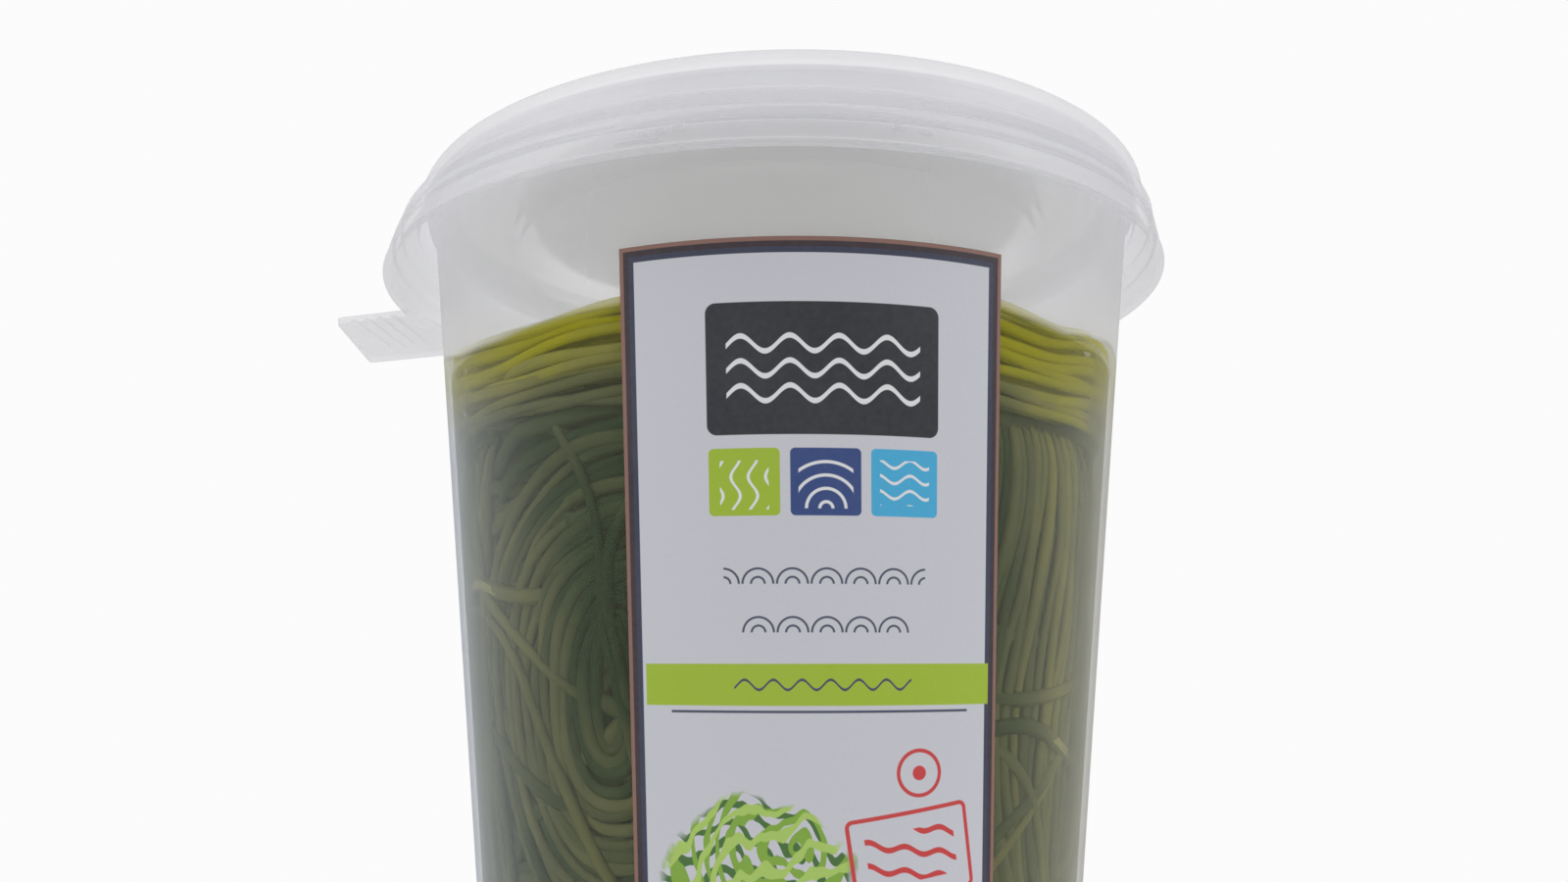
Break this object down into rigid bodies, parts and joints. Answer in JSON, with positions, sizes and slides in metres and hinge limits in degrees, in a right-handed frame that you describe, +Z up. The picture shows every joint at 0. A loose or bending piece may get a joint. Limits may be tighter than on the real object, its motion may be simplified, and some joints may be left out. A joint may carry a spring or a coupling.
{
  "type": "tub of sea spaghetti seaweed",
  "caption": "Round tapered snap-lid tub packed with long sea spaghetti strands in sea water, with a printed label on its front and a lifting tab on its lid.",
  "frame": {"origin": "centre of the tub's flat base, where it stands", "axes": "+Z up along the tub's axis, -Y out of the front, which carries the label, +X to the right as the front is looked at"},
  "size_m": [0.1149, 0.1008, 0.1258],
  "materials": {
    "tub_plastic": "satin",
    "lid_plastic": "satin",
    "label_print": "satin",
    "sea_water": "gloss",
    "seaweed_green": "gloss",
    "seaweed_olive": "gloss"
  },
  "bodies": {
    "root": {"tub": "tub_plastic", "lid": "lid_plastic", "label": "label_print", "sea_water": "sea_water", "sea_spaghetti_coils": "seaweed_green", "sea_spaghetti_top": "seaweed_olive"}
  },
  "joints": []
}
